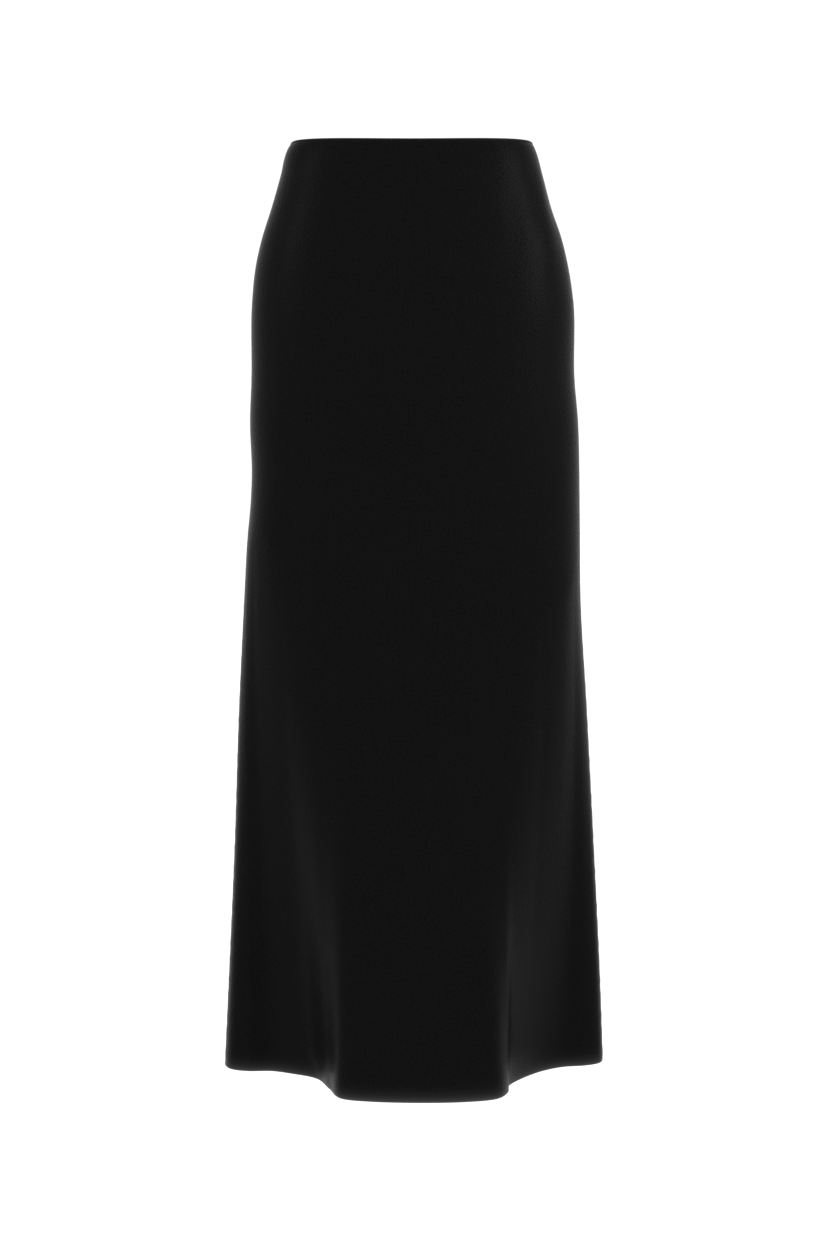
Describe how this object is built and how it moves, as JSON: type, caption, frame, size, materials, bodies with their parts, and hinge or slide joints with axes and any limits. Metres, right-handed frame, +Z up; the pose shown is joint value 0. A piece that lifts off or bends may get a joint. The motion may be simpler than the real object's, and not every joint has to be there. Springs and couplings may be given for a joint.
{
  "type": "midi skirt",
  "caption": "Long A-line skirt in plain black cloth, hollow and open at waist and hem, with soft flutes and a concealed centre-back zip whose pull tab swings.",
  "frame": {"origin": "middle of the waist opening, level with the waist edge at the centre front", "axes": "+Z up along the body, -Y the way the front faces, +X on the right of someone looking at the front"},
  "size_m": [0.3868, 0.338, 0.9289],
  "materials": {
    "crepe": "matte woven crepe",
    "zip_tape": "woven tape",
    "zip_lacquer": "satin lacquer"
  },
  "bodies": {
    "skirt": {"front_panel": "crepe", "back_panel_left": "crepe", "back_panel_right": "crepe", "zip_tape_left": "zip_tape", "zip_tape_right": "zip_tape", "zip_slider": "zip_lacquer"},
    "pull_tab": {"zip_pull": "zip_lacquer"}
  },
  "joints": [
    {"name": "pull_swing", "type": "hinge", "parent": "skirt", "child": "pull_tab", "pos_m": [-0.00265, 0.09529, -0.01099], "axis": [1, 0, 0], "range_deg": [0, 170]}
  ]
}
